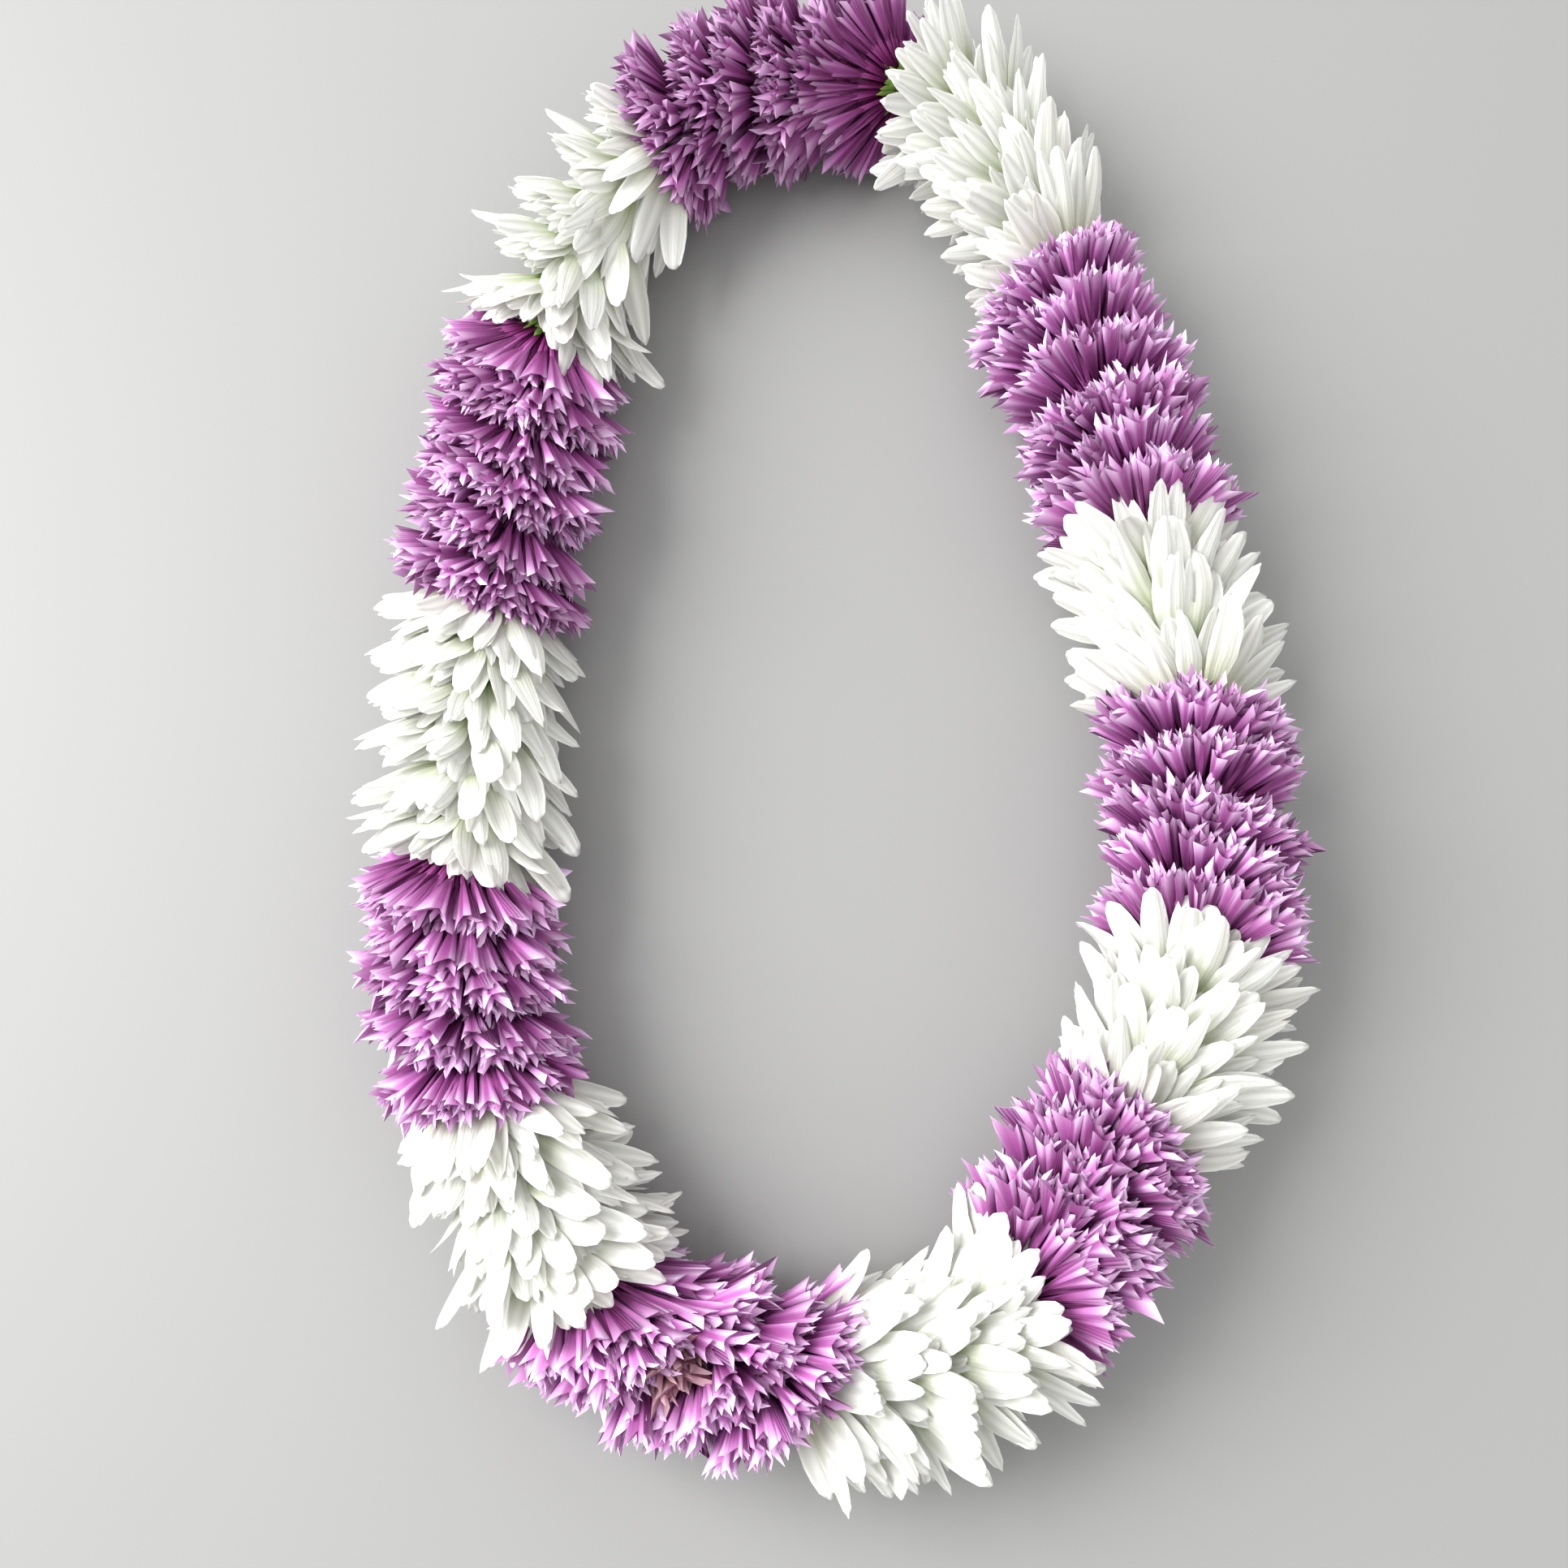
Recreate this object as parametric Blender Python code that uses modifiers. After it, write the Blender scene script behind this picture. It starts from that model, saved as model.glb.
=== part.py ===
"""Fresh flower lei: 72 purple and white flower heads threaded on a closed loop of cotton, lying flat.

Frame: metres, +Z up, the table top is z = 0. The origin is on the table under the middle of the lei,
+Y points along the lei's long side. Every head opens the same way round, anticlockwise from above.
"""
import bpy
import numpy as np
from mathutils import Matrix, Vector

MM = 0.001

# The thread's route seen from above, anticlockwise from the knot at the far end, in millimetres.
ROUTE = (
    (35, 205), (-30, 205), (-80, 155), (-95, 95), (-105, 30), (-110, -35), (-105, -100), (-80, -165),
    (-25, -195), (35, -190), (75, -145), (105, -85), (110, -20), (100, 45), (85, 105), (65, 160),
)
ROUTE_SAMPLES = 4000     # points on the smooth loop that lengths are measured on
THREAD_HEIGHT = 25 * MM  # the thread's centre over the table
THREAD_RADIUS = 0.5 * MM
THREAD_POINTS = 80

# The knot takes the first few millimetres of the loop, between the last head and the first.
KNOT_ROOM = 5 * MM
KNOT_RADII = (1.7 * MM, 1.3 * MM, 1.2 * MM)  # along the thread, across it and upwards
TAIL_LENGTH = 4 * MM
TAIL_RADIUS = 0.35 * MM
TAIL_SPREAD = 0.6        # radians that each cut end leans off the upright
TOUCH_GAP = 0.3 * MM

# Blocks of one colour along the loop: colour, heads, and length in millimetres before it is fitted.
BLOCKS = (
    ("purple", 6, 85), ("white", 5, 80), ("purple", 6, 90), ("white", 6, 80), ("purple", 5, 70),
    ("white", 5, 60), ("purple", 5, 70), ("white", 5, 65), ("purple", 5, 55), ("white", 4, 55),
    ("purple", 5, 75), ("white", 4, 55), ("purple", 6, 95), ("white", 5, 85),
)

# A head, turned about the thread, in millimetres: radius, and distance forwards from its cut stalk.
SIDES = 12
BORE = 2.0               # hole that the thread runs through
CALYX = ((5.5, 0.0), (6.5, 4.5))
CUP_FLOOR = ((7.0, 9.4), (BORE, 10.4))
RIM_BACK = 17.0
RIM_FRONT = 21.2
RIM_RADIUS = {"purple": 30.0, "white": 32.0}
TIP_SHRINK = 0.90        # every second point of the rim stands this share out, between the petal tips
PAIR_LAP = 1.0           # how far the cup floor reaches into the next stalk where two heads are one node

COLOURS = {
    "purple": (0.47, 0.19, 0.50, 1.0),
    "white": (0.88, 0.89, 0.80, 1.0),
    "thread": (0.80, 0.76, 0.66, 1.0),
}
ROUGHNESS = {"purple": 0.60, "white": 0.55, "thread": 0.85}


def clear_scene():
    for old in list(bpy.data.objects):
        bpy.data.objects.remove(old, do_unlink=True)


def collection(name):
    made = bpy.data.collections.new(name)
    bpy.context.scene.collection.children.link(made)
    return made


def material(name):
    made = bpy.data.materials.new(name)
    made.use_nodes = True
    shader = made.node_tree.nodes["Principled BSDF"]
    shader.inputs["Base Color"].default_value = COLOURS[name]
    shader.inputs["Roughness"].default_value = ROUGHNESS[name]
    shader.inputs["Metallic"].default_value = 0.0
    return made


def smooth_loop(points, samples):
    """A closed cubic B-spline that passes through the points, sampled evenly in its parameter."""
    count = len(points)
    step = np.roll(np.eye(count), 1, axis=0)
    handles = np.linalg.solve((4 * np.eye(count) + step + step.T) / 6, points)
    t = np.arange(samples) * count / samples
    i = t.astype(int)
    f = (t - i)[:, None]
    a, b, c, d = (handles[(i + k) % count] for k in (-1, 0, 1, 2))
    return ((1 - f)**3 * a + (3 * f**3 - 6 * f**2 + 4) * b
            + (-3 * f**3 + 3 * f**2 + 3 * f + 1) * c + f**3 * d) / 6


class Loop:
    """The thread's centre line, read by the distance along it from the knot."""

    def __init__(self):
        flat = smooth_loop(np.array(ROUTE, dtype=float) * MM, ROUTE_SAMPLES)
        self.points = np.vstack([flat, flat[:1]])
        steps = np.linalg.norm(np.diff(self.points, axis=0), axis=1)
        self.distance = np.concatenate([[0.0], np.cumsum(steps)])
        self.length = self.distance[-1]

    def place(self, distance):
        x, y = (np.interp(distance, self.distance, self.points[:, axis]) for axis in (0, 1))
        return Vector((x, y, THREAD_HEIGHT))

    def frame(self, distance, reach):
        """The place on the thread as a matrix: local +Z to the thread's place so far on, local +Y upwards."""
        forward = (self.place(distance + reach) - self.place(distance)).normalized()
        up = Vector((0, 0, 1))
        turn = Matrix((up.cross(forward), up, forward)).transposed()
        return Matrix.Translation(self.place(distance)) @ turn.to_4x4()


def evaluated_mesh(obj, name):
    """The object's mesh after its modifiers, as a new mesh. The object itself is removed."""
    depsgraph = bpy.context.evaluated_depsgraph_get()
    mesh = bpy.data.meshes.new_from_object(obj.evaluated_get(depsgraph))
    mesh.name = name
    bpy.data.objects.remove(obj, do_unlink=True)
    return mesh


def turned_head(name, rim_radius, raised, folder):
    """A head as a closed turned ring: stalk and calyx, flaring back, notched rim, cup and bore."""
    floor = [(radius, height + raised) for radius, height in CUP_FLOOR]
    outline = [(rim_radius, RIM_FRONT), (rim_radius, RIM_BACK), *CALYX[::-1], (BORE, 0.0), *floor[::-1]]
    corners = [(radius * MM, 0.0, height * MM) for radius, height in outline]
    edges = [(i, (i + 1) % len(corners)) for i in range(len(corners))]
    profile = bpy.data.meshes.new(name + "_profile")
    profile.from_pydata(corners, edges, [])
    obj = bpy.data.objects.new(name + "_turned", profile)
    folder.objects.link(obj)
    screw = obj.modifiers.new("Turn", "SCREW")
    screw.axis = "Z"
    screw.steps = SIDES
    screw.render_steps = SIDES
    screw.use_merge_vertices = True
    screw.merge_threshold = 0.00005
    mesh = evaluated_mesh(obj, name)
    notch_rim(mesh, rim_radius * MM)
    return mesh


def notch_rim(mesh, rim_radius):
    """Draw every second corner of the rim towards the thread, so that the rim reads as petal tips."""
    for vertex in mesh.vertices:
        x, y, _ = vertex.co
        side = round(np.arctan2(y, x) / (2 * np.pi / SIDES))
        if np.hypot(x, y) > 0.9 * rim_radius and side % 2:
            vertex.co.x *= TIP_SHRINK
            vertex.co.y *= TIP_SHRINK


def head_mesh(colour, raised, table, folder):
    """A head with its cup floor raised so much, less what would reach below the table."""
    mesh = turned_head(f"{colour}_head", RIM_RADIUS[colour], raised, folder)
    obj = bpy.data.objects.new(mesh.name, mesh)
    folder.objects.link(obj)
    obj.matrix_world = Matrix.Translation((0, 0, THREAD_HEIGHT)) @ Matrix.Rotation(np.pi / 2, 4, "X")
    boolean(obj, "Table", table, "DIFFERENCE")
    bpy.context.view_layer.update()
    cut = evaluated_mesh(obj, mesh.name)
    cut.materials.clear()
    cut.materials.append(bpy.data.materials[colour])
    return cut


def boolean(obj, name, other, operation):
    modifier = obj.modifiers.new(name, "BOOLEAN")
    modifier.object = other
    modifier.operation = operation
    modifier.solver = "EXACT"


def table_cutter(folder):
    bpy.ops.mesh.primitive_cube_add(size=0.2, location=(0, 0, -0.1))
    table = bpy.context.object
    table.name = "table_cutter"
    for owner in list(table.users_collection):
        owner.objects.unlink(table)
    folder.objects.link(table)
    as_cutter(table)
    return table


def as_cutter(obj):
    obj.hide_render = True
    obj.display_type = "WIRE"


def place_heads(loop, table, parts, cutters):
    """Heads in blocks along the loop. The last two of each block are one node, grown into each other."""
    scale = (loop.length - KNOT_ROOM) / sum(length for _, _, length in BLOCKS)
    single = {colour: head_mesh(colour, 0.0, table, cutters) for colour in RIM_RADIUS}
    number = dict.fromkeys(RIM_RADIUS, 0)
    depth = CUP_FLOOR[-1][1] * MM
    start = KNOT_ROOM
    for colour, heads, length in BLOCKS:
        number[colour] += 1
        block = f"{colour}_{number[colour]}"
        pitch = length * scale / heads
        for head in range(heads - 2):
            obj = bpy.data.objects.new(f"{block}_head_{head + 1}", single[colour])
            parts.objects.link(obj)
            obj.matrix_world = loop.frame(start + pitch * head, depth)
        raised = pitch / MM + PAIR_LAP - CUP_FLOOR[-1][1]
        pair = bpy.data.objects.new(f"{block}_heads_{heads - 1}_{heads}",
                                    head_mesh(colour, raised, table, cutters))
        parts.objects.link(pair)
        pair.matrix_world = loop.frame(start + pitch * (heads - 2), depth)
        last = bpy.data.objects.new(f"{block}_last_head", single[colour])
        cutters.objects.link(last)
        last.matrix_world = loop.frame(start + pitch * (heads - 1), depth)
        as_cutter(last)
        boolean(pair, "Last head", last, "UNION")
        start += length * scale


def thread(loop, parts):
    """The thread round the loop, from one side of the knot to the other."""
    inset = KNOT_ROOM / 2 + KNOT_RADII[0] + TOUCH_GAP
    curve = bpy.data.curves.new("thread", "CURVE")
    curve.dimensions = "3D"
    spline = curve.splines.new("POLY")
    spline.points.add(THREAD_POINTS - 1)
    stops = np.linspace(inset, loop.length - KNOT_ROOM + inset, THREAD_POINTS)
    stops[-1] = loop.length + KNOT_ROOM / 2 - KNOT_RADII[0] - TOUCH_GAP
    for point, stop in zip(spline.points, stops):
        point.co = (*loop.place(stop % loop.length), 1.0)
    curve.bevel_depth = THREAD_RADIUS
    curve.bevel_resolution = 2
    curve.use_fill_caps = True
    curve.materials.append(bpy.data.materials["thread"])
    parts.objects.link(bpy.data.objects.new("thread", curve))


def knot(loop, parts, cutters):
    """A small oval knot with two cut ends standing up out of it."""
    bpy.ops.mesh.primitive_uv_sphere_add(segments=12, ring_count=8, radius=1.0)
    body = bpy.context.object
    body.name = "thread_knot"
    for vertex in body.data.vertices:
        along, across, up = KNOT_RADII
        vertex.co = Vector((vertex.co.y * across, vertex.co.z * up, vertex.co.x * along))
    body.matrix_world = loop.frame(KNOT_ROOM / 2, KNOT_RADII[0])
    body.data.materials.append(bpy.data.materials["thread"])
    for side in (-1, 1):
        bpy.ops.mesh.primitive_cylinder_add(vertices=8, radius=TAIL_RADIUS, depth=TAIL_LENGTH)
        tail = bpy.context.object
        tail.name = f"knot_tail_{side}"
        lean = Matrix.Rotation(side * TAIL_SPREAD, 4, "Z") @ Matrix.Rotation(-np.pi / 2, 4, "X")
        tail.matrix_world = body.matrix_world @ lean @ Matrix.Translation((0, 0, TAIL_LENGTH / 2))
        move(tail, cutters)
        as_cutter(tail)
        boolean(body, f"Tail {side}", tail, "UNION")
    move(body, parts)


def move(obj, folder):
    for owner in list(obj.users_collection):
        owner.objects.unlink(obj)
    folder.objects.link(obj)


def centre_on_origin(parts, cutters):
    """Hang everything on an empty, moved so that the lei's box is centred over the origin."""
    bpy.context.view_layer.update()
    depsgraph = bpy.context.evaluated_depsgraph_get()
    places = np.array([obj.matrix_world @ vertex.co for obj in parts.objects if obj.type == "MESH"
                       for vertex in obj.evaluated_get(depsgraph).data.vertices])
    centre = (places.min(axis=0) + places.max(axis=0)) / 2
    anchor = bpy.data.objects.new("lei_origin", None)
    parts.objects.link(anchor)
    for obj in [*parts.objects, *cutters.objects]:
        if obj is not anchor:
            obj.parent = anchor
    anchor.location = (-centre[0], -centre[1], 0.0)


def main():
    clear_scene()
    parts = collection("flower_lei")
    cutters = collection("cutters")
    for name in COLOURS:
        material(name)
    loop = Loop()
    place_heads(loop, table_cutter(cutters), parts, cutters)
    thread(loop, parts)
    knot(loop, parts, cutters)
    centre_on_origin(parts, cutters)


main()
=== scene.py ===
"""Fresh flower lei, the looks: every floret, bract and the cotton thread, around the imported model.

Lengths are metres. The heads stand on the thread's closed route, all opening anticlockwise seen from
above. A head has its own axes: side (towards the middle of the ring), up, and forward along the thread.
"""

import bpy
import numpy as np
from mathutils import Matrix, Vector


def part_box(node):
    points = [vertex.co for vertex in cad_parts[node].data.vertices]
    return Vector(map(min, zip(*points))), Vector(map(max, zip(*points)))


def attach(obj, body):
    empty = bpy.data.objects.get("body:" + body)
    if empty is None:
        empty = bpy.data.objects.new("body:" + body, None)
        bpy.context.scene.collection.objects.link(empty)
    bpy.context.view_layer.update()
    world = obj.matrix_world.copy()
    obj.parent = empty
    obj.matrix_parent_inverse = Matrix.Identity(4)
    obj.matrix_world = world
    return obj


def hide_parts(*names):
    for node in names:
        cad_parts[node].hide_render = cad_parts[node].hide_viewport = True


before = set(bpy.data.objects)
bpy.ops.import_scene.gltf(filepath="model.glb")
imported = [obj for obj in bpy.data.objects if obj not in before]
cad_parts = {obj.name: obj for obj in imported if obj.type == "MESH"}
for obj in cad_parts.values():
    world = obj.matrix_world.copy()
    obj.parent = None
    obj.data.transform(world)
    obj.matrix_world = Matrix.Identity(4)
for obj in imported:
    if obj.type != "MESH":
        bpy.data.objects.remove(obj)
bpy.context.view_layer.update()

MM = 0.001
RNG = np.random.default_rng(11)

# The thread's route seen from above, anticlockwise from the knot at the far end, in millimetres.
ROUTE = (
    (35, 205), (-30, 205), (-80, 155), (-95, 95), (-105, 30), (-110, -35), (-105, -100), (-80, -165),
    (-25, -195), (35, -190), (75, -145), (105, -85), (110, -20), (100, 45), (85, 105), (65, 160),
)
ROUTE_SAMPLES = 4000
KNOT_ROOM = 5 * MM
HEAD_DEPTH = 10.4 * MM   # from a head's stalk to the floor of its cup

# Blocks of one colour along the loop: colour, heads, and length in millimetres before it is fitted; then
# how far the heads look away from the ring's middle and down towards the table, in degrees; then how
# much shorter the topmost white petals are, or how dark a purple block is; then how much longer florets
# are on the side towards the ring's middle, and shorter on the other side.
BLOCKS = (
    ("purple", 6, 85, 16, 12, 0.65, 0.0), ("white", 5, 80, 18, 20, 0.3, 0.18),
    ("purple", 6, 90, 12, 17, 0.2, 0.0), ("white", 6, 80, 16, 18, 0.28, 0.08),
    ("purple", 5, 70, 8, 14, 0.1, 0.0), ("white", 5, 60, -6, 18, 0.1, 0.14),
    ("purple", 5, 70, 20, 9, 0.0, 0.05), ("white", 5, 65, 12, 20, 0.25, 0.0),
    ("purple", 5, 55, 12, 13, 0.25, 0.0), ("white", 4, 55, 6, 20, 0.15, -0.08),
    ("purple", 5, 75, 8, 6, 0.2, 0.0), ("white", 4, 55, 0, 24, 0.05, 0.0),
    ("purple", 6, 95, -4, 6, 0.05, 0.0), ("white", 5, 85, -20, 20, 0.1, -0.16),
)
UNDER_WHITE = (16, 6)    # degrees further down for the first purple heads of a block, under white petals

# Single white petals that stand out from their heads: for each white block in turn, how many towards
# the ring's middle and how many away from it. They start at the block's last head and go back from it.
LONE_PETALS = ((4, 2), (3, 3), (3, 2), (1, 3), (0, 2), (1, 4), (2, 5))
LONE_TURN = 15           # how far from level they are turned at most, in degrees
LONE_LENGTHS = (32, 39)  # the shortest and the longest, in millimetres
LONE_ANGLES = (50, 72)   # the least and the greatest angle off the thread halfway along, in degrees
LONE_WIDTHS = (8, 10)    # the narrowest and the widest, in millimetres
LONE_OUT = 5.6 * MM      # where they start, out from the thread
LONE_AHEAD = 4.4 * MM    # and forwards
LONE_BEND = 3            # degrees further off the thread at the base, and less far at the tip

# Rows of florets, outermost first: how many, length, where on the receptacle they start (out from the
# thread, and forwards), and the angle off the thread at the base and at the tip, in degrees.
WHITE_ROWS = (
    (19, 34.5, 5.6, 4.0, 61, 55), (19, 33.5, 5.0, 5.0, 55, 48), (18, 30.0, 4.4, 6.2, 48, 44),
    (15, 24.0, 3.6, 7.4, 41, 41), (11, 16.0, 2.6, 8.4, 32, 38),
)
PURPLE_ROWS = (
    (38, 25.0, 5.4, 4.0, 60, 62), (35, 24.0, 4.8, 5.0, 53, 56), (31, 22.5, 4.2, 6.2, 46, 51),
    (23, 20.0, 3.4, 7.4, 37, 46),
)
BRACT_ROWS = ((12, 6.0, 4.4, 0.8, 30, 58), (12, 7.0, 5.0, 1.8, 32, 60))

# The one worn patch: purple block, head in it, and its middle's turn about the thread, in degrees.
WORN_PATCH = (4, 3, 105)
WORN_REACH = 0.55        # how far round from its middle the patch goes, in radians
WORN_MARK = 2.0          # the own number that tells the material a floret is brown
WORN_SHARE = 0.7         # how much of a worn floret's colour is brown
WORN_COLOUR = (0.36, 0.15, 0.09, 1.0)

WHITE_STATIONS = (0.0, 0.15, 0.32, 0.50, 0.68, 0.82, 0.93, 1.0)
BRACT_STATIONS = (0.0, 0.35, 0.7, 1.0)
WHITE_WIDTH = 8.8 * MM
FACE_UP = 0.55           # how far florets at the sides of a head roll to lie flat, in radians
WHITE_THICKNESS = 0.28 * MM
UNEVEN = {"purple": (0.12, 0.07), "white": (0.07, 0.05)}   # chance turns of a head, sideways and down
HEAD_PIVOT = 12.0 * MM   # how far ahead of its stalk a head's florets are turned about
TABLE_SKIN = 1.6 * MM    # how softly florets flatten against the table


# ---------------------------------------------------------------- the thread's route

def smooth_loop(points, samples):
    """A closed cubic B-spline that passes through the points, sampled evenly in its parameter.

    Its handles h solve (h before + 4 h + h after) / 6 = point, and each span blends four handles with
    the cubic weights (1-f)^3, 3f^3-6f^2+4, -3f^3+3f^2+3f+1 and f^3, over 6.
    """
    count = len(points)
    step = np.roll(np.eye(count), 1, axis=0)
    handles = np.linalg.solve((4 * np.eye(count) + step + step.T) / 6, points)
    t = np.arange(samples) * count / samples
    i = t.astype(int)
    f = (t - i)[:, None]
    a, b, c, d = (handles[(i + k) % count] for k in (-1, 0, 1, 2))
    return ((1 - f)**3 * a + (3 * f**3 - 6 * f**2 + 4) * b
            + (-3 * f**3 + 3 * f**2 + 3 * f + 1) * c + f**3 * d) / 6


class Loop:
    """The thread's centre line, read by the distance along it from the knot."""

    def __init__(self):
        low, high = (np.array(corner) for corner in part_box("thread"))
        flat = smooth_loop(np.array(ROUTE, float) * MM, ROUTE_SAMPLES)
        centre = (low + high) / 2
        flat += centre[:2] - (flat.min(axis=0) + flat.max(axis=0)) / 2
        self.height = centre[2]
        self.points = np.vstack([flat, flat[:1]])
        steps = np.linalg.norm(np.diff(self.points, axis=0), axis=1)
        self.distance = np.concatenate([[0.0], np.cumsum(steps)])
        self.length = self.distance[-1]

    def place(self, distance):
        """The thread's centre at the distance, or at each of an array of them."""
        distance = np.mod(distance, self.length)
        flat = [np.interp(distance, self.distance, self.points[:, axis]) for axis in (0, 1)]
        return np.stack([*flat, np.full_like(flat[0], self.height)], axis=-1)

    def axes(self, distance, reach):
        """Side, up and forward at the distance, as the rows of a matrix; forward aims so far on."""
        forward = self.place(distance + reach) - self.place(distance)
        forward /= np.linalg.norm(forward)
        up = np.array((0.0, 0.0, 1.0))
        return np.stack([np.cross(up, forward), up, forward])


# ---------------------------------------------------------------- meshes

def grid_faces(stations, around):
    """Quads of a tube of rings, closed around, as rings x around indices in one flat array."""
    ring = np.arange(stations - 1)[:, None] * around
    here = np.arange(around)[None, :]
    beside = (here + 1) % around
    return np.stack([ring + here, ring + beside, ring + around + beside, ring + around + here],
                    axis=-1).reshape(-1, 4)


def end_faces(stations, around):
    """The two end polygons of such a tube, wound outwards."""
    first = np.arange(around)[::-1]
    last = np.arange(around) + (stations - 1) * around
    return np.stack([first, last])


def repeated(faces, copies, stride):
    """The same faces for every copy of a shape, whose vertices follow each other stride apart."""
    return (faces[None] + (np.arange(copies) * stride)[:, None, None]).reshape(-1, faces.shape[1])


class Bundle:
    """Vertices, polygons of any size and a three-part attribute per vertex, gathered into one mesh."""

    def __init__(self):
        self.places, self.marks, self.corners, self.sizes, self.count = [], [], [], [], 0

    def add(self, places, marks, *face_sets):
        """One more shape, with its faces numbered from its own first vertex."""
        self.places.append(places.reshape(-1, 3))
        self.marks.append(marks.reshape(-1, 3))
        for faces in face_sets:
            self.corners.append((faces + self.count).ravel())
            self.sizes.append(np.full(len(faces), faces.shape[1]))
        self.count += len(self.places[-1])

    def piece(self, name, material, slot, node):
        """The gathered mesh as a smooth-shaded piece that rides on the lei and stands for the node.

        Edges are sharp where both their ends are marked as a rim, with a first mark of one or minus one.
        """
        mesh = bpy.data.meshes.new(name)
        places = np.concatenate(self.places)
        corners = np.concatenate(self.corners)
        sizes = np.concatenate(self.sizes)
        mesh.vertices.add(len(places))
        mesh.vertices.foreach_set("co", places.astype(np.float32).ravel())
        mesh.loops.add(len(corners))
        mesh.loops.foreach_set("vertex_index", corners.astype(np.int32))
        mesh.polygons.add(len(sizes))
        starts = np.concatenate([[0], np.cumsum(sizes)[:-1]])
        mesh.polygons.foreach_set("loop_start", starts.astype(np.int32))
        mesh.polygons.foreach_set("use_smooth", np.ones(len(sizes), bool))
        mark = mesh.attributes.new("petal", "FLOAT_VECTOR", "POINT")
        mark.data.foreach_set("vector", np.concatenate(self.marks).astype(np.float32).ravel())
        mesh.update(calc_edges=True)
        ends = np.empty(len(mesh.edges) * 2, np.int32)
        mesh.edges.foreach_get("vertices", ends)
        rim = np.abs(np.concatenate(self.marks)[:, 0]) > 0.99
        sharp = mesh.attributes.new("sharp_edge", "BOOLEAN", "EDGE")
        sharp.data.foreach_set("value", rim[ends.reshape(-1, 2)].all(axis=1))
        mesh.materials.append(material)
        obj = bpy.data.objects.new(name, mesh)
        bpy.context.scene.collection.objects.link(obj)
        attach(obj, "root")
        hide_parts(node)
        return obj


# ---------------------------------------------------------------- florets

def spread(count, low, high):
    """So many even draws between two values."""
    return RNG.uniform(low, high, count)


def row_starts(row, jitter_angle, jitter_length):
    """Where and how each floret of one row starts: evenly round the thread, each a little off."""
    count, length, out, ahead, base, tip = row
    turn = (np.arange(count) + RNG.uniform(0, 1)) * 2 * np.pi / count
    return {
        "turn": turn + spread(count, -0.45, 0.45) * 2 * np.pi / count,
        "length": length * MM * (1 + spread(count, -jitter_length, jitter_length * 0.6)),
        "out": out * MM * np.ones(count),
        "ahead": (ahead + spread(count, -0.5, 0.5)) * MM,
        "base": np.radians(base + spread(count, -jitter_angle, jitter_angle) * 0.5),
        "tip": np.radians(tip + spread(count, -jitter_angle, jitter_angle)),
        "curl": np.zeros(count),
    }


def joined(rows):
    """The starts of several rows as those of one."""
    return {key: np.concatenate([row[key] for row in rows]) for key in rows[0]}


def spine(starts, stations, sway, roll, twist):
    """Each floret's centre line and the directions across it and out of its face, in head axes.

    The line leaves the receptacle at the base angle off the thread, turns steadily to the tip angle and
    adds curl times the cube of the way along, so out and ahead are the running sums of length times its
    sine and cosine. It sways sideways by sway times the square of the way along, and its width is
    turned about it by roll plus twist times the way along.
    """
    v = np.asarray(stations)[None, :]
    fine = np.linspace(0, 1, 33)
    base, tip = starts["base"][:, None], starts["tip"][:, None]
    angle = base + (tip - base) * fine + starts["curl"][:, None] * fine**3
    step = starts["length"][:, None] / 32
    mid = (angle[:, 1:] + angle[:, :-1]) / 2
    run_out = np.concatenate([np.zeros_like(base), np.cumsum(np.sin(mid) * step, axis=1)], axis=1)
    run_on = np.concatenate([np.zeros_like(base), np.cumsum(np.cos(mid) * step, axis=1)], axis=1)
    pick = np.round(np.asarray(stations) * 32).astype(int)
    out = starts["out"][:, None] + run_out[:, pick]
    on = starts["ahead"][:, None] + run_on[:, pick]
    slope = angle[:, pick]
    turn = starts["turn"][:, None]
    radial = np.stack([np.cos(turn), np.sin(turn), 0 * turn], axis=-1)
    round_ = np.stack([-np.sin(turn), np.cos(turn), 0 * turn], axis=-1)
    forward = np.array((0.0, 0.0, 1.0))
    shift = (sway * starts["length"])[:, None] * v**2
    centre = radial * out[..., None] + forward * on[..., None] + round_ * shift[..., None]
    along = radial * np.sin(slope)[..., None] + forward * np.cos(slope)[..., None]
    along = along + round_ * (2 * sway[:, None] * v)[..., None]
    along /= np.linalg.norm(along, axis=-1, keepdims=True)
    face = forward * np.sin(slope)[..., None] - radial * np.cos(slope)[..., None]
    across = np.cross(face, along)
    across /= np.linalg.norm(across, axis=-1, keepdims=True)
    face = np.cross(along, across)
    lean = ((roll[:, None] + twist[:, None] * v) * np.minimum(v / 0.3, 1))[..., None]
    turned = across * np.cos(lean) + face * np.sin(lean)
    return centre, along, turned, face * np.cos(lean) - across * np.sin(lean)


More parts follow.
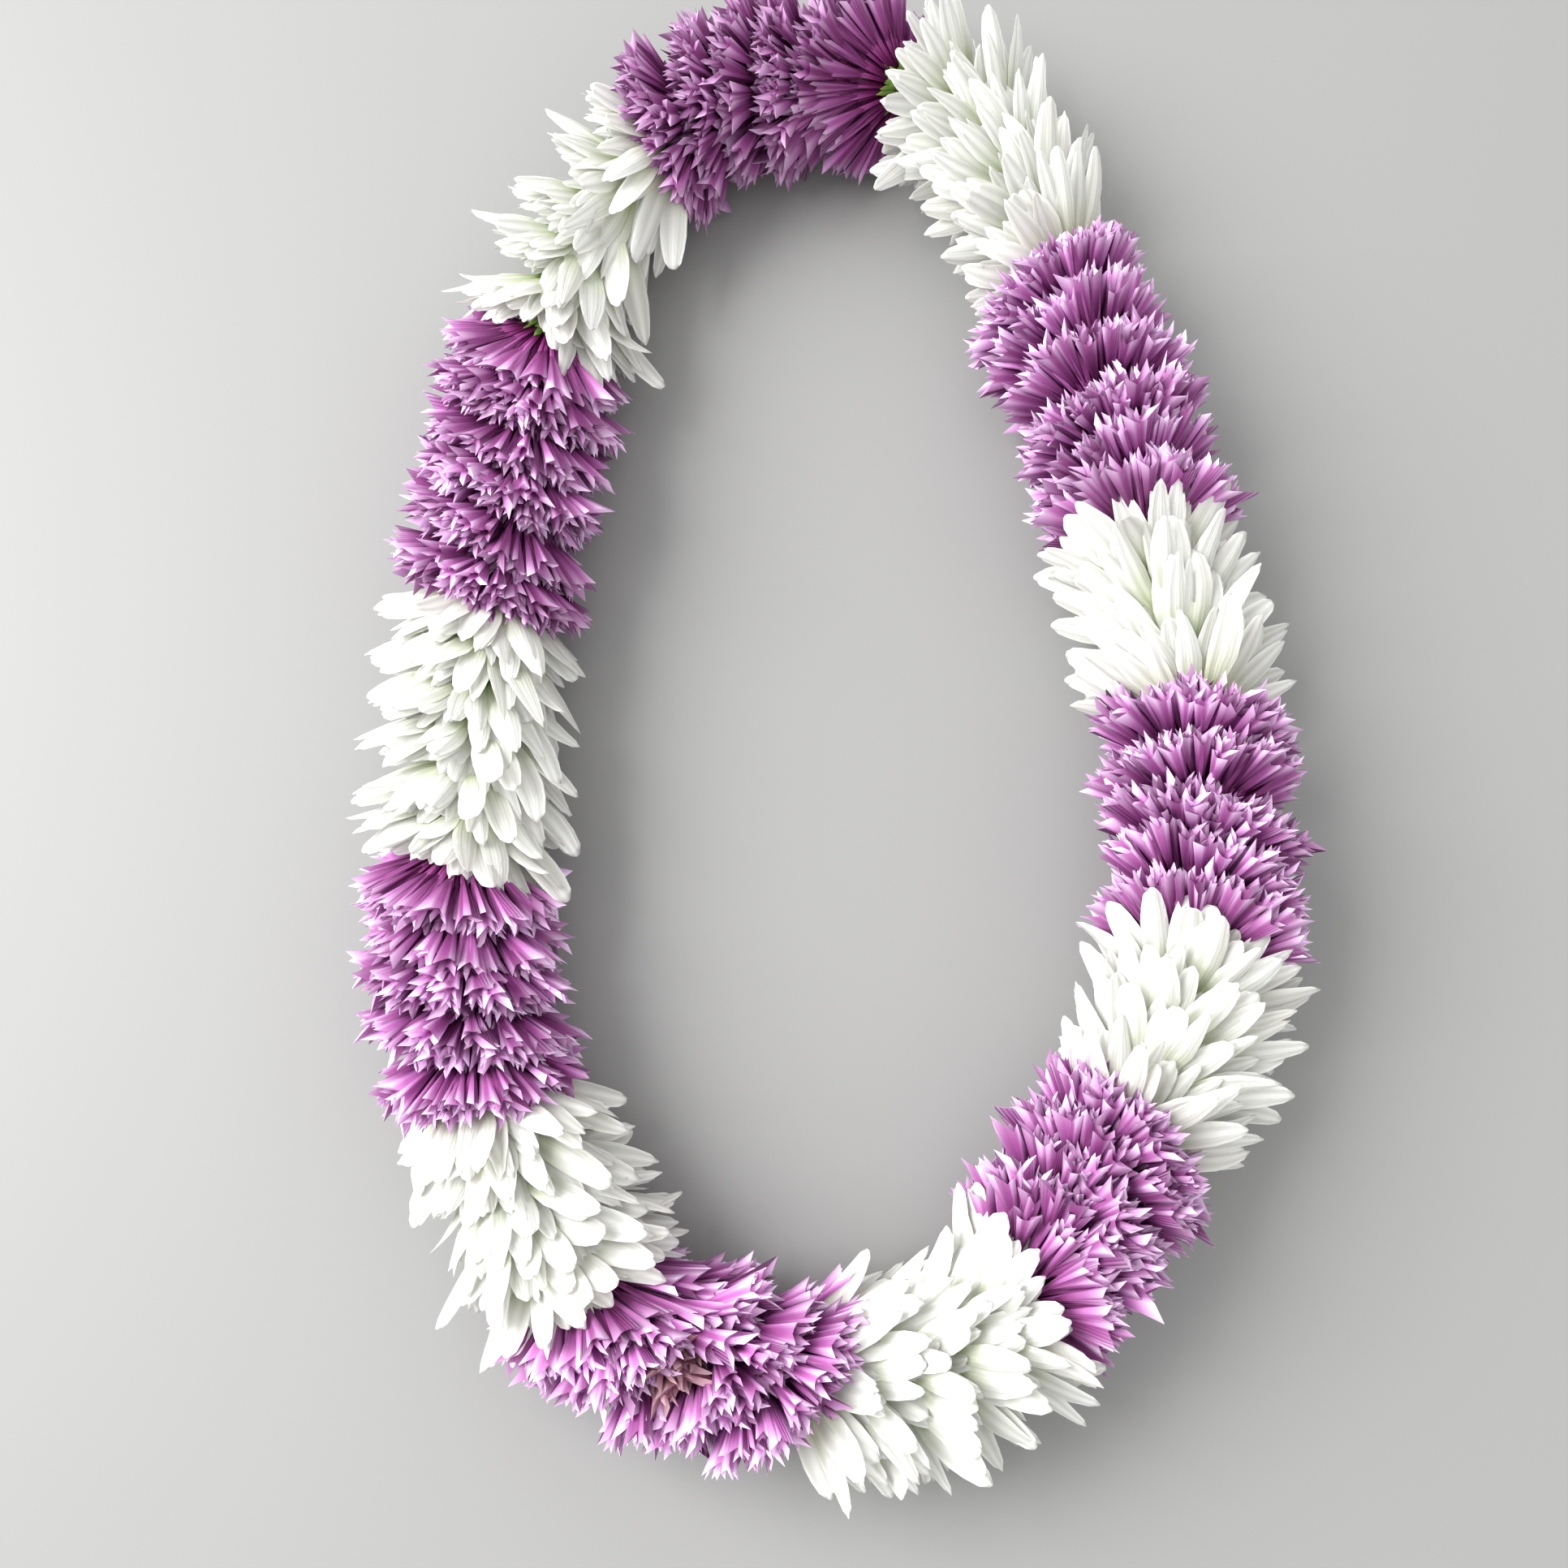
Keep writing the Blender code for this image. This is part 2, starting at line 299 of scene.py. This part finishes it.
def straps(starts, stations, look):
    """Strap-shaped florets: closed thin blades, five columns on the face and three on the back.

    The half width is a narrow claw that widens as a sine up to six tenths of the way, times a tip that
    falls off over the last part as the root of 1 - x^p. Across, the blade is lifted by cup times the
    square of the way out, a ridge along the middle with a groove each side, and a ruffle of opposite
    waves on the two edges. At the tip the edges are drawn back, and the middle too where it is notched.
    It is thickest along the middle.
    """
    v = np.asarray(stations)
    centre, along, across, face = spine(starts, stations, look["sway"], look["roll"], look["twist"])
    claw = 0.24 + 0.76 * np.sin(np.minimum(v / 0.62, 1.0) * np.pi / 2)**1.3
    sharp = look["sharp"][:, None]
    x = np.clip((v - 0.56 + 0.1 * sharp) / (0.47 + 0.08 * sharp), 0, 1)
    tip = np.sqrt(np.maximum(1 - x**(3.4 - 1.7 * sharp), 0.0)) * (1 - 0.25 * sharp * x)
    half = look["width"][:, None] / 2 * claw * np.maximum(tip, 0.05)
    u = np.array((-1, -0.5, 0, 0.5, 1, 0.5, 0, -0.5))
    back = np.array((0, 0, 0, 0, 0, 1, 1, 1))
    rib = np.where(np.abs(u) == 0.5, -1.0, np.where(u == 0, 0.6, 0.0))
    swell = np.sin(np.minimum(v * 1.15, 1.0) * np.pi)**0.5
    wave = np.sin(7.0 * v + 6.28 * look["phase"][:, None]) * look["ruffle"][:, None]
    lift = look["cup"][:, None, None] * u**2 * half[..., None] * 2
    lift = lift + look["ridge"] * rib * (half * swell)[..., None]
    lift = lift + wave[..., None] * u * half[..., None]
    taper = (0.35 + 0.65 * (1 - v))[None, :, None]
    lift = lift - back * look["thickness"] * (1 - 0.5 * np.abs(u)) * taper
    near = np.clip((v - 0.75) / 0.25, 0, 1)[:, None]**2
    drawn = near * (0.10 * u**2 + look["notch"][:, None, None] * (1 - np.abs(u)))
    drawn = drawn * look["width"][:, None, None]
    places = (centre[:, :, None] + across[:, :, None] * (u * half[..., None])[..., None]
              + face[:, :, None] * lift[..., None] - along[:, :, None] * drawn[..., None])
    return places, np.broadcast_to(u, lift.shape), np.broadcast_to(v[None, :, None], lift.shape)


QUILL_SIDES = 12
QUILL_STATIONS = (0.0, 0.38, 0.74, 1.0)
QUILL_GROOVE = 0.09


def quills(starts, look):
    """Quilled florets: a grooved tube that widens to a mouth fringed with four slanting lobes.

    Rings run up the outside to the mouth; every third corner is a groove, and the two between stand a
    little prouder. On the crown ring those two go on by the lobe length, outwards by flare times it,
    and the grooves stay at the mouth, which makes the lobes. The last ring is deep inside the mouth.
    """
    centre, along, across, face = spine(starts, QUILL_STATIONS, look["sway"], look["roll"], look["twist"])
    v = np.array(QUILL_STATIONS)
    grow = 0.30 + 0.34 * v + 0.36 * np.clip((v - 0.5) / 0.5, 0, 1)**2
    mouth = look["radius"][:, None, None] * grow[None, :, None]
    turn = np.arange(QUILL_SIDES) * 2 * np.pi / QUILL_SIDES
    c, s = np.cos(turn), np.sin(turn)
    rib = (np.arange(QUILL_SIDES) % 3 > 0).astype(float)
    size = mouth * (1 + QUILL_GROOVE * (2 * rib - 1))

    def ring_at(station, scale, forward, outward):
        """Ring of the tube at a station, at a scale of its size there, moved along and outwards."""
        wide = (size[:, station] * scale + outward) * c
        high = (size[:, station] * scale * look["flat"] + outward) * s
        return (centre[:, station, None] + across[:, station, None] * wide[..., None]
                + face[:, station, None] * high[..., None]
                + along[:, station, None] * np.asarray(forward)[..., None])

    reach = look["lobe"] * rib
    none = np.zeros_like(reach)
    rows = [ring_at(j, 1.0, none, none) for j in range(4)]
    rows.append(ring_at(3, 1.0, reach + 0.1 * MM, reach * look["flare"]))
    rows.append(ring_at(1, 0.7, none, none))
    places = np.stack(rows, axis=1)
    steps = np.array((0.0, 0.3, 0.6, 0.82, 0.85, 0.3))
    way = np.broadcast_to(steps[:, None], places.shape[:3]).copy()
    way[:, 4] += 0.15 * rib
    # The mark also sets the colour: a painted highlight on the ribs and lobes, and painted shade in the
    # grooves and, at nought, deep in the mouth. Plus or minus one on the crown ring makes its edges sharp.
    mark = np.broadcast_to(0.9 * rib, places.shape[:3]).copy()
    mark[:, 4] = 2 * rib - 1
    mark[:, 5] = 0.0
    return places, mark, way


def to_world(points, origin, axes):
    """Head axes to the lei's own, with whatever would sink through the table flattened on to it.

    A height z becomes half of z plus the root of z squared plus four times the skin squared, which
    leaves tall points alone and brings low ones to rest just above the table.
    """
    world = origin + points @ axes
    z = world[..., 2]
    world[..., 2] = 0.5 * (z + np.sqrt(z**2 + 4 * TABLE_SKIN**2))
    return world


def marks_of(across, way, count, most=1.0):
    """The attribute that materials read: place across, place along, and a number of each floret's own."""
    own = np.broadcast_to(RNG.uniform(0, most, count)[:, None, None], way.shape)
    return np.stack([across, way, own], axis=-1)


def add_straps(bundle, starts, origin, axes, stations, look):
    """Strap-shaped florets of one head, closed at both ends, put into the bundle."""
    count = len(starts["turn"])
    places, across, way = straps(starts, stations, look)
    rings, around = places.shape[1:3]
    bundle.add(to_world(places, origin, axes), marks_of(across, way, count),
               repeated(grid_faces(rings, around), count, rings * around),
               repeated(end_faces(rings, around), count, rings * around))


def white_look(count, width):
    """How each of so many white florets differs from the next."""
    return {
        "width": width * (1 + spread(count, -0.20, 0.14)),
        "thickness": WHITE_THICKNESS,
        "cup": spread(count, -0.04, 0.20),
        "ridge": 0.15,
        "sharp": spread(count, 0.2, 1.2),
        "notch": np.where(spread(count, 0, 1) < 0.3, spread(count, 0.05, 0.16), 0.0),
        "ruffle": spread(count, 0, 0.10),
        "phase": spread(count, 0, 1),
        "sway": RNG.normal(0, 0.08, count),
        "roll": RNG.normal(0, 0.16, count),
        "twist": RNG.normal(0, 0.26, count),
    }


def white_head(bundle, origin, axes, bare, inner):
    """One white head: florets shorter on top by bare, and shorter and leaning further forwards below."""
    rows = [row_starts(row, 9, 0.15) for row in WHITE_ROWS]
    sizes = np.concatenate([np.full(len(row["turn"]), 1 - 0.09 * i) for i, row in enumerate(rows)])
    starts = joined(rows)
    count = len(sizes)
    starts["curl"] = RNG.normal(-0.05, 0.30, count)
    under = np.maximum(-np.sin(starts["turn"]), 0)
    starts["length"] *= 1 + inner * np.cos(starts["turn"]) - 0.2 * under
    starts["length"] *= 1 - bare * np.maximum(np.sin(starts["turn"]), 0)**5
    starts["tip"] -= np.radians(20) * under
    look = white_look(count, WHITE_WIDTH * sizes)
    look["roll"] += FACE_UP * np.cos(starts["turn"])
    add_straps(bundle, starts, origin, axes, WHITE_STATIONS, look)


def lone_petals(bundle, origin, axes, sides):
    """The petals of one head that stand out to these sides, in degrees: straighter and flatter ones."""
    count = len(sides)
    angle = RNG.uniform(*LONE_ANGLES, count)
    starts = {"turn": np.radians(sides + RNG.uniform(-LONE_TURN, LONE_TURN, count)),
              "length": RNG.uniform(*LONE_LENGTHS, count) * MM,
              "out": np.full(count, LONE_OUT), "ahead": np.full(count, LONE_AHEAD),
              "base": np.radians(angle + LONE_BEND), "tip": np.radians(angle - LONE_BEND),
              "curl": np.zeros(count)}
    look = white_look(count, RNG.uniform(*LONE_WIDTHS, count) * MM)
    look["roll"] += FACE_UP * np.cos(starts["turn"])
    add_straps(bundle, starts, origin, axes, WHITE_STATIONS, look)


def lone_sides(block, heads, head):
    """The sides that this head's lone petals stand out to, 0 being towards the ring's middle.

    Petal k of a side is on the head k before the block's last, going round again past its first.
    """
    towards, away = (np.count_nonzero((heads - 1 - np.arange(petals)) % heads == head)
                     for petals in LONE_PETALS[block - 1])
    return np.repeat((0.0, 180.0), (towards, away))


def lobe_lengths(count):
    """How far each corner of so many mouths goes on, in millimetres: one of a lobe's two goes furthest."""
    lobes = (3.9 + RNG.normal(0, 1.1, (count, QUILL_SIDES // 3, 1))).clip(1.8, 6.5)
    shares = RNG.permuted(np.broadcast_to((1.0, 0.5), (count, QUILL_SIDES // 3, 2)), axis=2)
    return (lobes * np.concatenate([0 * lobes, shares], axis=2)).reshape(count, QUILL_SIDES)


def purple_head(bundle, origin, axes, dark, inner, worn=None):
    """One purple head; where it is worn, its florets are short, bent open and brown."""
    starts = joined([row_starts(row, 7, 0.14) for row in PURPLE_ROWS])
    count = len(starts["turn"])
    brown = np.zeros(count, bool)
    if worn is not None:
        brown = np.cos(starts["turn"] - np.radians(worn)) > np.cos(WORN_REACH)
        starts["length"] *= np.where(brown, spread(count, 0.5, 0.85), 1)
        starts["tip"] += np.where(brown, spread(count, -0.2, 0.5), 0)
    starts["curl"] = RNG.normal(0, 0.16, count)
    starts["length"] *= 1 + inner * np.cos(starts["turn"])
    look = {
        "radius": (1.7 + spread(count, -0.35, 0.35)) * MM,
        "flat": 0.6,
        "lobe": lobe_lengths(count) * MM,
        "flare": RNG.uniform(0.1, 1.15, (count, QUILL_SIDES // 3)).repeat(3, axis=1),
        "sway": RNG.normal(0, 0.05, count),
        "roll": FACE_UP * np.cos(starts["turn"]) + RNG.normal(0, 0.3, count),
        "twist": RNG.normal(0, 0.3, count),
    }
    places, inside, way = quills(starts, look)
    rings, around = places.shape[1:3]
    marks = marks_of(inside, way, count, 1 - dark)
    marks[brown, :, :, 2] = WORN_MARK
    bundle.add(to_world(places, origin, axes), marks,
               repeated(grid_faces(rings, around), count, rings * around),
               repeated(end_faces(rings, around), count, rings * around))


# Outline of the receptacle and stalk, turned about the thread: out and ahead, in millimetres.
RECEPTACLE = (
    (0.7, -2.0), (1.5, -2.0), (1.7, 0.0), (4.2, 0.8), (6.0, 2.8), (6.2, 4.6), (4.6, 7.2), (0.7, 8.6),
)
RECEPTACLE_SIDES = 16


def calyx(bundle, origin, axes):
    """A turned receptacle with its stalk, open along the thread, under two rows of pointed bracts."""
    outline = np.array(RECEPTACLE) * MM
    turn = np.arange(RECEPTACLE_SIDES) * 2 * np.pi / RECEPTACLE_SIDES
    out, on = outline[:, 0, None], outline[:, 1, None]
    places = np.stack([out * np.cos(turn), out * np.sin(turn), on + 0 * turn], axis=-1)
    around = RECEPTACLE_SIDES
    faces = grid_faces(len(outline), around)
    last = (len(outline) - 1) * around
    here = np.arange(around)
    beside = (here + 1) % around
    bore = np.stack([last + here, last + beside, beside, here], axis=-1)
    way = np.broadcast_to(np.linspace(0, 0.6, len(outline))[:, None], places.shape[:2])
    marks = np.stack([0 * way, way, 0 * way + 0.5], axis=-1)
    bundle.add(to_world(places, origin, axes), marks, faces, bore)
    starts = joined([row_starts(row, 8, 0.12) for row in BRACT_ROWS])
    count = len(starts["turn"])
    still = np.zeros(count)
    look = {"width": (2.2 + spread(count, 0, 0.6)) * MM, "thickness": 0.3 * MM, "cup": spread(count, 0, 0.3),
            "ridge": 0.06, "sharp": spread(count, 0.8, 1.2), "notch": still, "ruffle": still, "phase": still,
            "sway": spread(count, -0.08, 0.08), "roll": still, "twist": spread(count, -0.2, 0.2)}
    add_straps(bundle, starts, origin, axes, BRACT_STATIONS, look)


# ---------------------------------------------------------------- materials

def new_material(name):
    """An empty node material, with its nodes and links."""
    made = bpy.data.materials.new(name)
    made.use_nodes = True
    made.node_tree.nodes.clear()
    return made, made.node_tree.nodes, made.node_tree.links


def ramp(nodes, stops):
    """A colour ramp with the given (place, colour) stops."""
    made = nodes.new("ShaderNodeValToRGB")
    elements = made.color_ramp.elements
    while len(elements) < len(stops):
        elements.new(0.5)
    for element, (place, colour) in zip(elements, stops):
        element.position = place
        element.color = (*colour, 1.0)
    return made


def maths(nodes, links, operation, first, second=None):
    """A maths node on sockets or plain numbers."""
    made = nodes.new("ShaderNodeMath")
    made.operation = operation
    for slot, value in zip(made.inputs, (first, second)):
        if value is None:
            continue
        if isinstance(value, (int, float)):
            slot.default_value = value
        else:
            links.new(value, slot)
    return made.outputs[0]


def petal_parts(nodes, links):
    """The petal attribute taken apart: across, along, and each floret's own number."""
    read = nodes.new("ShaderNodeAttribute")
    read.attribute_name = "petal"
    parts = nodes.new("ShaderNodeSeparateXYZ")
    links.new(read.outputs["Vector"], parts.inputs[0])
    return parts.outputs


def tinted(nodes, links, colour, own, dark, light):
    """The colour times a grey between dark and light, picked by each floret's own number."""
    shade = ramp(nodes, ((0.0, dark), (1.0, light)))
    links.new(own, shade.inputs[0])
    mix = nodes.new("ShaderNodeMix")
    mix.data_type = "RGBA"
    mix.blend_type = "MULTIPLY"
    mix.inputs[0].default_value = 1.0
    links.new(colour, mix.inputs[6])
    links.new(shade.outputs[0], mix.inputs[7])
    return mix.outputs[2]


def veins(nodes, links, across, along, lines, depth):
    """Bump of fine lengthwise veins: a sine across the floret, broken up by noise along it."""
    noise = nodes.new("ShaderNodeTexNoise")
    noise.inputs["Scale"].default_value = 900.0
    noise.inputs["Detail"].default_value = 2.0
    place = nodes.new("ShaderNodeTexCoord")
    links.new(place.outputs["Object"], noise.inputs["Vector"])
    wave = maths(nodes, links, "SINE", maths(nodes, links, "MULTIPLY", across, lines * np.pi))
    height = maths(nodes, links, "ADD", maths(nodes, links, "MULTIPLY", wave, 0.5),
                   maths(nodes, links, "MULTIPLY", noise.outputs["Fac"], 0.6))
    bump = nodes.new("ShaderNodeBump")
    bump.inputs["Strength"].default_value = 0.5
    bump.inputs["Distance"].default_value = depth
    links.new(height, bump.inputs["Height"])
    return bump.outputs["Normal"]


def petal_shader(nodes, links, colour, glow, normal, roughness, through):
    """Principled mixed with a share of Translucent, for a blade that light comes through."""
    front = nodes.new("ShaderNodeBsdfPrincipled")
    front.inputs["Roughness"].default_value = roughness
    front.inputs["Specular IOR Level"].default_value = 0.25
    links.new(colour, front.inputs["Base Color"])
    links.new(normal, front.inputs["Normal"])
    behind = nodes.new("ShaderNodeBsdfTranslucent")
    links.new(glow, behind.inputs["Color"])
    mix = nodes.new("ShaderNodeMixShader")
    mix.inputs[0].default_value = through
    links.new(front.outputs[0], mix.inputs[1])
    links.new(behind.outputs[0], mix.inputs[2])
    out = nodes.new("ShaderNodeOutputMaterial")
    links.new(mix.outputs[0], out.inputs["Surface"])


def white_petal():
    """White petals, yellowish green at the base, with painted shade greying their grooves."""
    made, nodes, links = new_material("white_petal")
    across, along, own = petal_parts(nodes, links)
    base = ramp(nodes, ((0.0, (0.46, 0.60, 0.16)), (0.14, (0.74, 0.85, 0.44)), (0.34, (0.91, 0.95, 0.80)),
                        (0.58, (0.97, 0.975, 0.95)), (1.0, (0.98, 0.98, 0.975))))
    links.new(along, base.inputs[0])
    colour = tinted(nodes, links, base.outputs[0], own, (0.96, 0.955, 0.93), (1.0, 1.0, 1.0))
    # Painted shade: the two grooves either side of each petal's middle are tinted grey.
    groove = maths(nodes, links, "COSINE", maths(nodes, links, "MULTIPLY", across, 2 * np.pi))
    groove = maths(nodes, links, "ADD", maths(nodes, links, "MULTIPLY", groove, 0.5), 0.5)
    colour = tinted(nodes, links, colour, groove, (0.83, 0.835, 0.82), (1.0, 1.0, 1.0))
    petal_shader(nodes, links, colour, colour, veins(nodes, links, across, along, 7, 0.12 * MM), 0.42, 0.44)
    return made


def purple_petal():
    """Purple florets, darkest at the base, partly as painted shade, pale at the lobes and brown where they
    are worn.
    """
    made, nodes, links = new_material("purple_petal")
    across, along, own = petal_parts(nodes, links)
    # Darker towards the base: partly the florets' own colour and partly painted shade of the hidden tube
    # bases.
    base = ramp(nodes, ((0.0, (0.15, 0.005, 0.08)), (0.20, (0.34, 0.035, 0.23)), (0.45, (0.62, 0.20, 0.53)),
                        (0.76, (0.72, 0.30, 0.66)), (0.86, (0.80, 0.45, 0.76)), (1.0, (0.94, 0.72, 0.94))))
    links.new(along, base.inputs[0])
    colour = tinted(nodes, links, base.outputs[0], own, (0.54, 0.34, 0.50), (1.26, 1.30, 1.28))
    # Painted highlight on the ribs and lobes, and painted shade in the grooves and deep in the mouth, read
    # from the rib mark.
    colour = tinted(nodes, links, colour, across, (0.76, 0.54, 0.72), (1.12, 1.26, 1.16))
    worn = nodes.new("ShaderNodeMix")
    worn.data_type = "RGBA"
    brown = maths(nodes, links, "GREATER_THAN", own, 1.5)
    links.new(maths(nodes, links, "MULTIPLY", brown, WORN_SHARE), worn.inputs[0])
    links.new(colour, worn.inputs[6])
    worn.inputs[7].default_value = WORN_COLOUR
    colour = worn.outputs[2]
    petal_shader(nodes, links, colour, colour, veins(nodes, links, across, along, 5, 0.10 * MM), 0.62, 0.26)
    return made


def green_calyx():
    """Matte green receptacles and bracts."""
    made, nodes, links = new_material("green_calyx")
    across, along, own = petal_parts(nodes, links)
    base = ramp(nodes, ((0.0, (0.06, 0.11, 0.015)), (0.6, (0.10, 0.18, 0.025)), (1.0, (0.18, 0.27, 0.06))))
    links.new(along, base.inputs[0])
    colour = tinted(nodes, links, base.outputs[0], own, (0.75, 0.8, 0.7), (1.15, 1.1, 1.1))
    petal_shader(nodes, links, colour, colour, veins(nodes, links, across, along, 5, 0.1 * MM), 0.6, 0.1)
    return made


def cotton():
    """Pale cotton thread, mottled and slightly rough; its twist is not shown."""
    made, nodes, links = new_material("twisted_cotton")
    place = nodes.new("ShaderNodeTexCoord")
    noise = nodes.new("ShaderNodeTexNoise")
    noise.inputs["Scale"].default_value = 2500.0
    links.new(place.outputs["Object"], noise.inputs["Vector"])
    colour = ramp(nodes, ((0.3, (0.60, 0.55, 0.44)), (0.7, (0.86, 0.82, 0.72))))
    links.new(noise.outputs["Fac"], colour.inputs[0])
    bump = nodes.new("ShaderNodeBump")
    bump.inputs["Strength"].default_value = 0.6
    bump.inputs["Distance"].default_value = 0.1 * MM
    links.new(noise.outputs["Fac"], bump.inputs["Height"])
    shader = nodes.new("ShaderNodeBsdfPrincipled")
    shader.inputs["Roughness"].default_value = 0.9
    shader.inputs["Sheen Weight"].default_value = 0.3
    links.new(colour.outputs[0], shader.inputs["Base Color"])
    links.new(bump.outputs["Normal"], shader.inputs["Normal"])
    out = nodes.new("ShaderNodeOutputMaterial")
    links.new(shader.outputs[0], out.inputs["Surface"])
    return made


# ---------------------------------------------------------------- the lei

def string_heads(loop, materials):
    """Every head of every block, at the CAD's places. The last two of a block share one piece."""
    scale = (loop.length - KNOT_ROOM) / sum(block[2] for block in BLOCKS)
    makers = {"purple": purple_head, "white": white_head}
    number = dict.fromkeys(makers, 0)
    start = KNOT_ROOM
    for colour, heads, length, away, down, change, inner in BLOCKS:
        number[colour] += 1
        block = f"{colour}_{number[colour]}"
        pitch = length * scale / heads
        groups = [[head] for head in range(heads - 2)] + [[heads - 2, heads - 1]]
        for group in groups:
            node = f"{block}_head_{group[0] + 1}"
            if len(group) == 2:
                node = f"{block}_heads_{heads - 1}_{heads}"
            petals, greens = Bundle(), Bundle()
            for head in group:
                distance = start + pitch * head
                axes = loop.axes(distance, HEAD_DEPTH)
                origin = loop.place(distance)
                under = UNDER_WHITE[head] if colour == "purple" and head < len(UNDER_WHITE) else 0
                leaned = looking(axes, away, down + under, UNEVEN[colour])
                origin += (axes[2] - leaned[2]) * HEAD_PIVOT
                if (colour, number[colour], head + 1) == ("purple", *WORN_PATCH[:2]):
                    purple_head(petals, origin, leaned, change, inner, WORN_PATCH[2])
                else:
                    makers[colour](petals, origin, leaned, change, inner)
                sides = lone_sides(number["white"], heads, head) if colour == "white" else ()
                if len(sides):
                    lone_petals(petals, origin, leaned, sides)
                calyx(greens, origin, leaned)
            petals.piece(node + "_petals", materials[colour], colour + "_petals", node)
            greens.piece(node + "_calyx", materials["green"], "green_calyx", node)
        start += length * scale


def looking(axes, away, down, uneven):
    """The head's axes turned away from the ring's middle and down, with a few degrees of chance."""
    away, down = np.radians((away, down)) + RNG.normal(0, uneven, 2)
    forward = axes[2] - axes[0] * np.tan(away) - axes[1] * np.tan(down)
    forward /= np.linalg.norm(forward)
    side = np.cross(axes[1], forward)
    side /= np.linalg.norm(side)
    return np.stack([side, np.cross(forward, side), forward])


FLOOR_COLOUR = (0.28, 0.28, 0.275, 1.0)
FLOOR_ROUGHNESS = 0.55
STUDIO_COLOUR = (1.0, 1.0, 1.0, 1.0)
STUDIO_STRENGTH = 1.08
LAMP_PLACE = (-1.6, 0.35, 1.45)
LAMP_SIZE = 1.6
LAMP_WATTS = 88.0


def stage_and_light():
    """A plain pale floor, an even white studio and one large soft lamp."""
    bpy.ops.mesh.primitive_plane_add(size=6.0, location=(0, 0, 0))
    floor = bpy.context.object
    floor.name = "floor"
    made, nodes, links = new_material("pale_floor")
    shader = nodes.new("ShaderNodeBsdfPrincipled")
    shader.inputs["Base Color"].default_value = FLOOR_COLOUR
    shader.inputs["Roughness"].default_value = FLOOR_ROUGHNESS
    out = nodes.new("ShaderNodeOutputMaterial")
    links.new(shader.outputs[0], out.inputs["Surface"])
    floor.data.materials.append(made)

    world = bpy.data.worlds.new("studio")
    bpy.context.scene.world = world
    world.use_nodes = True
    background = world.node_tree.nodes["Background"]
    background.inputs["Color"].default_value = STUDIO_COLOUR
    background.inputs["Strength"].default_value = STUDIO_STRENGTH
    lamp("window", LAMP_PLACE, LAMP_SIZE, LAMP_WATTS)


def lamp(name, place, size, watts):
    """A square area lamp that looks at the middle of the lei."""
    data = bpy.data.lights.new(name, "AREA")
    data.size = size
    data.energy = watts
    obj = bpy.data.objects.new(name, data)
    bpy.context.scene.collection.objects.link(obj)
    obj.location = place
    obj.rotation_euler = (-Vector(place)).to_track_quat("-Z", "Y").to_euler()


CAMERA_PLACE = (-0.0144, -0.1415, 0.500)
CAMERA_TILT = np.radians(12.5)
CAMERA_FIELD = np.radians(52.0)


def camera(middle):
    """A level camera over the lei, tilted a little towards its far end."""
    data = bpy.data.cameras.new("camera")
    data.sensor_fit = "HORIZONTAL"
    data.angle = CAMERA_FIELD
    data.clip_start = 0.01
    obj = bpy.data.objects.new("camera", data)
    bpy.context.scene.collection.objects.link(obj)
    obj.location = Vector(CAMERA_PLACE) + Vector(middle)
    obj.rotation_euler = (CAMERA_TILT, 0.0, 0.0)
    bpy.context.scene.camera = obj


low, high = (np.array(corner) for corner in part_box("thread"))
camera(((low + high) / 2 * (1, 1, 0)).tolist())
stage_and_light()
bpy.context.scene.view_settings.view_transform = "Standard"
looks = {"purple": purple_petal(), "white": white_petal(), "green": green_calyx()}
string_heads(Loop(), looks)
thread_look = cotton()
for node in ("thread", "thread_knot"):
    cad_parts[node].data.materials.clear()
    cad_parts[node].data.materials.append(thread_look)
